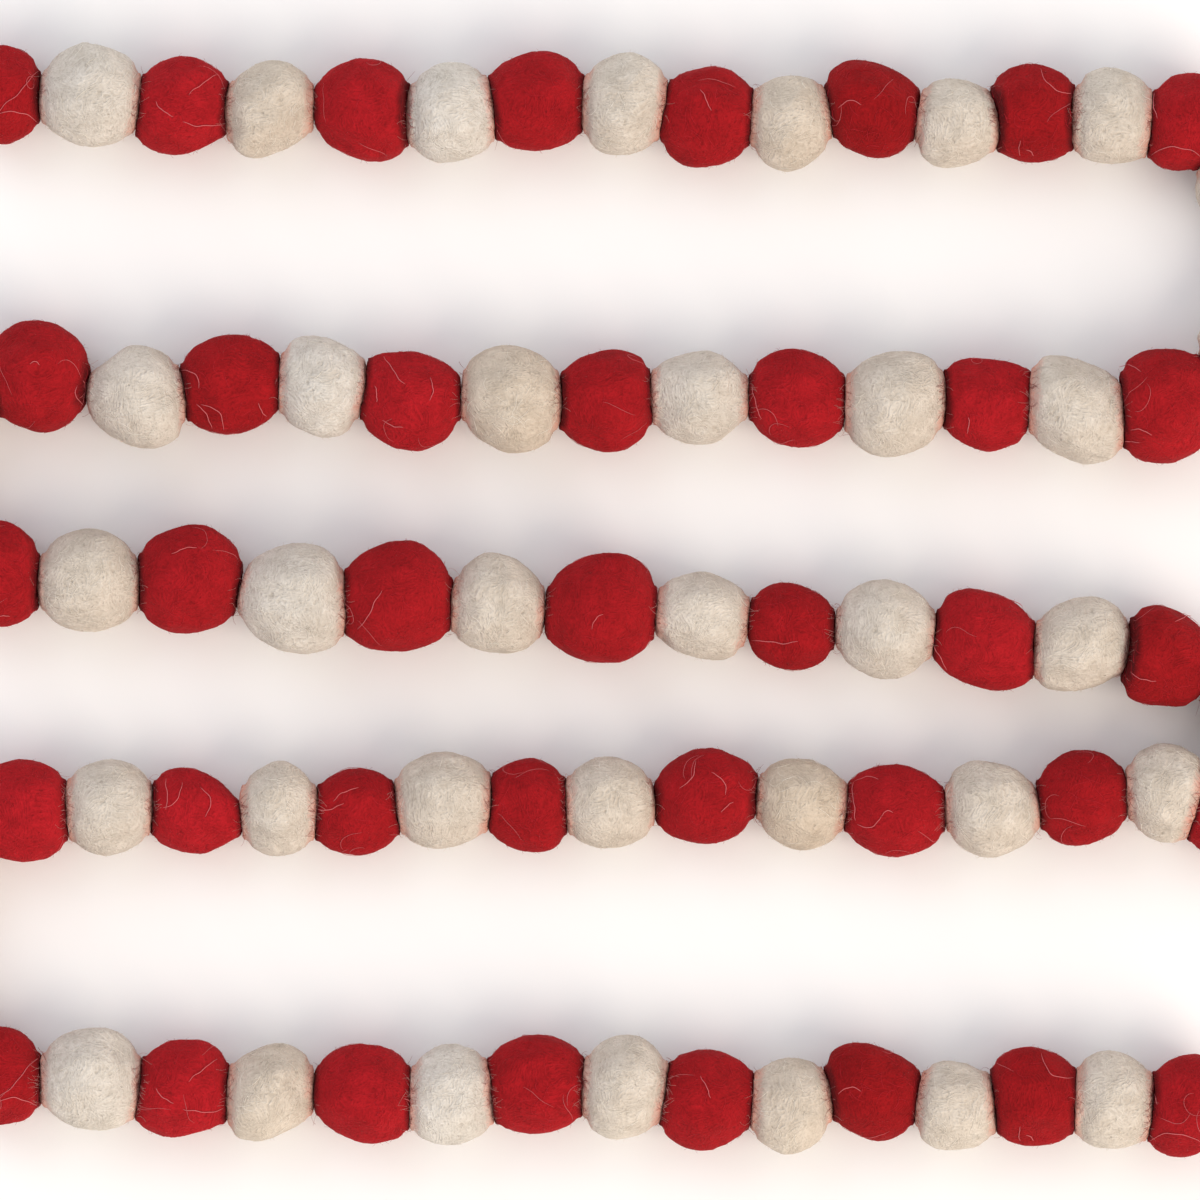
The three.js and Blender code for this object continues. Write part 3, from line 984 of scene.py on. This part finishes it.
@dataclass
class Fibres:
    """Loose wool on the balls: flat-lying fibres, short fuzz, long hairs and seam hairs. Millimetres."""

    sphere: Sphere
    balls: list[Ball]
    stray_radius: float = 0.115
    stray_tip: float = 0.35  # of that radius
    stray_steps: int = 20
    stray_lift: float = 0.3  # how high a long hair arches at most
    lift_share: tuple[float, float] = (0.2, 1.0)  # of that, from hair to hair
    least_lift: float = 0.08
    wobble: float = 0.017  # of a long hair's length
    wobble_turns: tuple[float, float] = (9.0, 17.0)  # radians from end to end, slow and quick
    lowest: float = 4.0  # no hair is laid on wool that is lower than this
    clear: float = 0.1  # from a fibre to the floor and to a pressed face
    tops: list[BVHTree] = field(default_factory=list)

    def build(self, finishes: dict[str, bpy.types.Material]) -> None:
        """Builds the loose wool of every ball, joined by colour and kind.

        Args:
            finishes: The material of each kind of fibre, by piece name.
        """
        faces = self.sphere.faces.tolist()
        self.tops = [BVHTree.FromPolygons(ball.skin.tolist(), faces) for ball in self.balls]
        by_colour = {colour: [b for b in self.balls if b.colour is colour] for colour in Colour}
        for colour, balls in by_colour.items():
            for name, kind in (("lying_fibres", LYING), ("fuzz", FUZZ)):
                made = [self._strands(ball, kind) for ball in balls]
                self._piece(f"{colour.value}_{name}", f"{colour.value}_felt", made, finishes)
        made = [self._long_hairs()] + [self._strands(ball, FAINT) for ball in by_colour[Colour.RED]]
        self._piece("stray_hairs_on_red", "cream_felt", made, finishes)
        for colour in Colour:
            seams = range(len(self.balls) - 1)
            made = [self._seam_hairs(seam, colour, SEAM_HAIRS[colour]) for seam in seams]
            self._piece(f"{colour.value}_hairs_at_seams", f"{colour.value}_felt", made, finishes)

    def _piece(self, name: str, slot: str, made: list[tuple], finishes: dict) -> None:
        """Joins fibres into one piece.

        Args:
            name: The piece's name.
            slot: The record's material slot. Not used.
            made: Paths and radii of the fibres, in groups.
            finishes: The material of each piece, by name.
        """
        grouped: dict[int, list[tuple]] = {}
        for paths, radii in made:
            grouped.setdefault(paths.shape[1], []).append((paths, radii))
        meshes = []
        for groups in grouped.values():
            paths = np.concatenate([p for p, _ in groups])
            radii = np.concatenate([r for _, r in groups])
            meshes.append(tubes(paths, radii))
        obj = mesh_object(name, *joined(meshes))
        obj.data.materials.append(finishes[name])
        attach(obj, "root")
        LOG.info("%s: %d triangles", name, len(obj.data.polygons))

    def _laid(self, plan: np.ndarray, near: list[int], lift: np.ndarray) -> np.ndarray:
        """Lays hairs on top of the balls.

        Args:
            plan: Points of each hair seen from above, in metres, shaped (hairs, points, 2).
            near: Numbers of the balls that they may lie on.
            lift: How far off the skin each point is, in metres.

        Returns:
            Points of each hair. One that misses the balls lies at about the height of lift.
        """
        down = Vector((0, 0, -1))
        high = 0.1  # metres, above every ball
        laid = np.zeros((*plan.shape[:2], 3))
        laid[..., :2] = plan
        for i, hair in enumerate(plan):
            heights = []
            for x, y in hair:
                hits = [self.tops[n].ray_cast(Vector((x, y, high)), down)[0] for n in near]
                heights.append(max((hit.z for hit in hits if hit is not None), default=0.0))
            heights = np.array(heights)
            found = heights > self.lowest * MM
            steps = np.arange(len(hair))
            if found.any():
                laid[i, :, 2] = np.interp(steps, steps[found], heights[found])
        laid[..., 2] += lift
        return laid

    def _long_hairs(self) -> tuple[np.ndarray, np.ndarray]:
        """The long pale hairs of the table, on the first four passes and again on the last."""
        rng = Chance.LONG_HAIRS.source()
        slow, quick = self.wobble_turns
        along = np.linspace(0, 1, self.stray_steps)
        arch = 4 * along * (1 - along)
        made = []
        for hair in HAIRS:
            start = np.array((hair.from_x, hair.from_y))
            end = np.array((hair.to_x, hair.to_y))
            length = float(np.linalg.norm(end - start))
            left = unit(np.array((start[1] - end[1], end[0] - start[0])))
            repeat = hair.ball + LAST_PASS
            for number in [hair.ball, repeat] if repeat < len(self.balls) else [hair.ball]:
                turns = rng.uniform(*ANY_TURN, 2)
                wobble = np.sin(along * slow + turns[0]) + 0.5 * np.sin(along * quick + turns[1])
                side = (hair.bow * arch + wobble * length * self.wobble)[:, None] * left
                plan = (start + (end - start) * along[:, None] + side) * MM
                plan = plan + self.balls[number].centre[:2]
                near = [n for n in (number - 1, number, number + 1) if 0 <= n < len(self.balls)]
                lift = (self.least_lift + self.stray_lift * arch * rng.uniform(*self.lift_share)) * MM
                made.append(self._laid(plan[None], near, lift)[0])
        radii = self.stray_radius * MM * (self.stray_tip + (1 - self.stray_tip) * arch**0.5)
        return np.array(made), np.broadcast_to(radii, (len(made), self.stray_steps))

    def _seam_hairs(self, seam: int, colour: Colour, kind: SeamHairs) -> tuple[np.ndarray, np.ndarray]:
        """Short fibres of one colour drawn across the crease between two balls onto the other.

        Args:
            seam: The number of the ball before the crease.
            colour: The fibres' colour.
            kind: How they lie.

        Returns:
            Paths and radii of those that lie on the balls.
        """
        rng = kind.chance.source(seam)
        face, heading = self.balls[seam].faces[-1]
        over = heading if self.balls[seam + 1].colour is not colour else -heading
        aside = np.array((-over[1], over[0], 0.0))
        count = int(kind.fewest + (kind.most - kind.fewest) * rng.uniform() ** kind.rarity)
        along = np.linspace(0, 1, kind.steps)
        arch = np.sin(along * math.pi)
        across = rng.normal(0, kind.spread, (count, 1)).clip(-kind.limit, kind.limit)
        start = rng.uniform(*kind.start, (count, 1))
        reach = rng.uniform(kind.shortest, kind.longest, (count, 1))
        slant = rng.normal(0, kind.slant, (count, 1))
        curl = rng.normal(0, kind.curl, (count, 1)) * arch
        forth = (start + reach * along)[..., None] * over[:2]
        side = (across + slant * along + curl)[..., None] * aside[:2]
        plan = face[:2] + (forth + side) * MM
        lift = (kind.least_lift + rng.uniform(*kind.lift, (count, 1)) * arch) * MM
        radii = kind.radius * MM * (1 - (1 - kind.tip) * along)
        radii = np.broadcast_to(radii, (count, kind.steps))
        paths = self._laid(plan, [seam, seam + 1], lift)
        on_balls = paths[..., 2].min(axis=1) > self.lowest * MM
        return paths[on_balls], radii[on_balls]

    def _on_skin(self, ball: Ball, directions: np.ndarray, lift: np.ndarray) -> np.ndarray:
        """Points on a ball's skin, or a little off it.

        Args:
            ball: The ball.
            directions: Directions from its middle, shaped (paths, points, 3).
            lift: How far off the skin each point is, in metres.

        Returns:
            The points.
        """
        flat = directions.reshape(-1, 3)
        offsets = ball.skin - ball.centre
        lengths = np.linalg.norm(offsets, axis=1)
        looks = offsets / lengths[:, None]
        facing = flat @ looks.T
        nearest = np.argpartition(-facing, 3, axis=1)[:, :3]
        close = np.take_along_axis(facing, nearest, axis=1)
        weight = 1 / (1 - close + 1e-5)
        reach = (lengths[nearest] * weight).sum(axis=1) / weight.sum(axis=1)
        reach = reach.reshape(directions.shape[:2]) + lift
        points = ball.centre + directions * reach[:, :, None]
        for point, heading in ball.faces:
            beyond = (points - point) @ heading + self.clear * MM
            points = points - np.maximum(beyond, 0)[..., None] * heading
        points[..., 2] = np.maximum(points[..., 2], self.clear * MM)
        return points

    def _walk(self, rng: np.random.Generator, kind: Strands, size: float) -> np.ndarray:
        """Curling walks over the sphere.

        Args:
            rng: The source of chance.
            kind: How many there are, and how they curl.
            size: The ball's radius in metres.

        Returns:
            Directions, shaped (walks, steps, 3).
        """
        strides = kind.steps - 1
        here = unit(rng.normal(size=(kind.count, 3)))
        ahead = unit(np.cross(here, rng.normal(size=(kind.count, 3))))
        stride = kind.length * MM / size / strides
        turn = rng.normal(size=(kind.count, 1)) * kind.curl / strides
        walk = [here]
        for _ in range(strides):
            turn = turn + rng.normal(size=(kind.count, 1)) * kind.curl / strides * kind.waver
            aside = np.cross(here, ahead)
            ahead = unit(ahead * np.cos(turn) + aside * np.sin(turn))
            moved = unit(here + ahead * stride)
            ahead = unit(ahead - moved * (ahead * moved).sum(axis=1, keepdims=True))
            here = moved
            walk.append(here)
        return np.stack(walk, axis=1)

    def _strands(self, ball: Ball, kind: Strands) -> tuple[np.ndarray, np.ndarray]:
        """Paths and radii of one kind of fibre on a ball."""
        rng = kind.chance.source(ball.number)
        size = float(np.median(np.linalg.norm(ball.skin - ball.centre, axis=1)))
        walk = self._walk(rng, kind, size)
        rise = kind.rise()
        lift = (rng.uniform(*kind.lift, (kind.count, 1)) * rise - kind.sunk) * MM
        low, high = kind.thickness
        radii = kind.radius * MM * (low + (high - low) * rise)
        return self._on_skin(ball, walk, lift), np.broadcast_to(radii, (kind.count, kind.steps))


@dataclass
class Thread:
    """The cotton twine through the balls, with a knot and a cut end past each end ball. Millimetres."""

    path: np.ndarray
    radius: float = 0.55
    ply_radius: float = 0.3
    twist: float = 3.2  # length of one turn of the plies
    knot_size: float = 0.5
    rise: float = 0.8  # how high a cut end arches
    frayed: float = 0.15  # of a cut end's length
    fraying: float = 0.8  # how much further apart its plies are at the tip
    sides: int = 8

    def build(self, material: bpy.types.Material) -> None:
        """Builds the twine.

        Args:
            material: Its finish.
        """
        core = self.path[None, 1:-1]
        pieces = [tubes(core, np.full(core.shape[:2], self.radius * MM), self.sides)]
        for tip, knot in ((self.path[0], self.path[1]), (self.path[-1], self.path[-2])):
            pieces.append(self._plies(tip, knot))
            pieces.append(self._knot(knot, unit(tip - knot)))
        obj = mesh_object("twine", *joined(pieces))
        obj.data.materials.append(material)
        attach(obj, "root")
        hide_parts("thread")
        LOG.info("twine: %d triangles", len(obj.data.polygons))

    def _plies(self, tip: np.ndarray, knot: np.ndarray) -> tuple[np.ndarray, np.ndarray]:
        """Three plies twisted round the line from a knot to its cut end."""
        steps, plies = 30, 3
        along = np.linspace(0, 1, steps)
        line = knot + (tip - knot) * along[:, None]
        line[:, 2] += np.sin(along * math.pi) * self.rise * MM
        heading = unit(tip - knot)
        aside = unit(np.cross(heading, (0, 0, 1)))
        above = np.cross(aside, heading)
        turns = along * np.linalg.norm(tip - knot) / (self.twist * MM) * FULL_TURN
        frayed = np.maximum(along - (1 - self.frayed), 0) / self.frayed
        spread = (1 + self.fraying * frayed) * self.ply_radius * MM
        paths = []
        for ply in range(plies):
            angle = turns + ply * FULL_TURN / plies
            sway = aside * np.cos(angle)[:, None] + above * np.sin(angle)[:, None]
            paths.append(line + sway * spread[:, None])
        return tubes(np.stack(paths), np.full((plies, steps), self.ply_radius * MM), self.sides)

    def _knot(self, middle: np.ndarray, heading: np.ndarray) -> tuple[np.ndarray, np.ndarray]:
        """An overhand knot pulled tight, as a small trefoil."""
        steps = 60
        turn = np.linspace(0, FULL_TURN, steps)
        aside = unit(np.cross(heading, (0, 0, 1)))
        above = np.cross(aside, heading)
        x = np.sin(turn) + 2 * np.sin(2 * turn)
        y = np.cos(turn) - 2 * np.cos(2 * turn)
        z = -np.sin(3 * turn)
        loop = aside * x[:, None] + above * y[:, None] + heading * z[:, None]
        path = middle + loop * self.knot_size * MM
        return tubes(path[None], np.full((1, steps), self.radius * MM), self.sides)


@dataclass(frozen=True)
class SoftLight:
    """A square soft light that faces the garland's middle. Metres and watts."""

    name: str
    place: tuple[float, float, float]
    size: float
    power: float
    hue: str

    def build(self) -> None:
        """Hangs the light."""
        data = bpy.data.lights.new(self.name, "AREA")
        data.size = self.size
        data.energy = self.power
        data.color = linear(self.hue)[:3]
        light = bpy.data.objects.new(self.name, data)
        light.location = self.place
        light.rotation_euler = (-Vector(self.place)).to_track_quat("-Z", "Y").to_euler()
        bpy.context.scene.collection.objects.link(light)


@dataclass
class Studio:
    """A pale floor, soft lights and a camera straight above, as the photograph looks. Metres."""

    picture_side: float = 0.306  # the side of the square stretch that the picture shows
    picture_middle: tuple[float, float] = (0.0033, -0.0001)
    camera_height: float = 3.0
    ball_middle: float = 0.0125
    sensor: float = 36.0  # millimetres
    floor_side: float = 8.0
    floor_roughness: float = 0.9
    air_light: float = 0.84

    def build(self) -> None:
        """Builds the floor, lights and camera."""
        self._floor()
        SoftLight("key_from_near_right", (2.6, -2.1, 2.5), size=3.0, power=122.0, hue="#fff0df").build()
        SoftLight("fill_from_far_left", (-2.0, 2.2, 2.6), size=2.4, power=36.0, hue="#dfe8fa").build()
        world = bpy.data.worlds.new("studio")
        world.use_nodes = True
        background = world.node_tree.nodes["Background"]
        background.inputs["Color"].default_value = linear("#f6f7fa")
        background.inputs["Strength"].default_value = self.air_light
        bpy.context.scene.world = world
        bpy.context.scene.view_settings.view_transform = "Standard"
        self._camera()

    def _floor(self) -> None:
        """Lays a wide, plain, near-white floor under the garland."""
        half = self.floor_side / 2
        corners = np.array([(-half, -half, 0), (half, -half, 0), (half, half, 0), (-half, half, 0)])
        floor = mesh_object("floor", corners, [(0, 1, 2, 3)])
        material, shader = new_material("matt_white_floor")
        shader.inputs["Base Color"].default_value = linear("#f7f6f4")
        shader.inputs["Roughness"].default_value = self.floor_roughness
        floor.data.materials.append(material)

    def _camera(self) -> None:
        """Sets a long lens straight above, so that the picture's side fits picture_side."""
        data = bpy.data.cameras.new("camera")
        data.sensor_width = self.sensor
        data.sensor_height = self.sensor
        data.lens = self.sensor * self.camera_height / self.picture_side
        camera = bpy.data.objects.new("camera", data)
        camera.location = (*self.picture_middle, self.ball_middle + self.camera_height)
        bpy.context.scene.collection.objects.link(camera)
        bpy.context.scene.camera = camera


def main() -> None:
    """Builds the garland's pieces in order."""
    logging.basicConfig(level=logging.INFO, format="%(name)s %(message)s")
    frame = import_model()
    slots = {part["node"]: part["material_slot"] for part in frame["record"]["subparts"]}
    wools = {
        Colour.RED: WetFeltedWool(
            name="red_wet_felted_wool",
            pale="#be1e27",
            deep="#8b1318",
            # painted shade in the small pits
            pit_shade="#560a0e",
            # painted near-black shade in the creases between balls
            painted_crease_shade="#3c080b",
            crease_shade_share=0.84,
            dull="#d8c6ba",
            sheen=0.08,
            sheen_tint="#e06060",
        ).build(),
        Colour.CREAM: WetFeltedWool(
            name="cream_wet_felted_wool",
            pale="#e7e0d6",
            # painted shade in the small pits
            deep="#bcb2a5",
            # painted shade and red light reflected from the red neighbours, beside the creases
            pit_shade="#857766",
            painted_crease_shade="#d18c78",
            crease_shade_share=0.95,
            dull="#f2e7da",
            sheen=0.12,
            sheen_tint="#fff6ea",
        ).build(),
    }
    finishes = {
        "red_lying_fibres": LooseWool("red_loose_wool", "#b8242e").build(),
        "red_fuzz": LooseWool("red_wool_fuzz", "#a81c26").build(),
        "stray_hairs_on_red": LooseWool("pale_pink_stray_wool", "#d16b6d").build(),
        "cream_hairs_at_seams": LooseWool("pale_seam_wool", "#cd968d").build(),
        "red_hairs_at_seams": LooseWool("red_seam_wool", "#8d2a2b").build(),
        "cream_lying_fibres": LooseWool("cream_loose_wool", "#efe7da").build(),
        "cream_fuzz": LooseWool("cream_wool_fuzz", "#d8cdbd").build(),
    }
    strung = Strung(frame["nodes"])
    LOG.info("%d balls read from the frame", len(strung.balls))
    sphere = Sphere(subdivisions=5)
    FeltSkins(strung, sphere).build(wools, slots)
    Fibres(sphere, strung.balls).build(finishes)
    Thread(strung.path).build(CottonTwine("spun_cotton_twine", "#e9e1d2", "#b9ae9a").build())
    Studio().build()


if __name__ == "__main__":
    main()
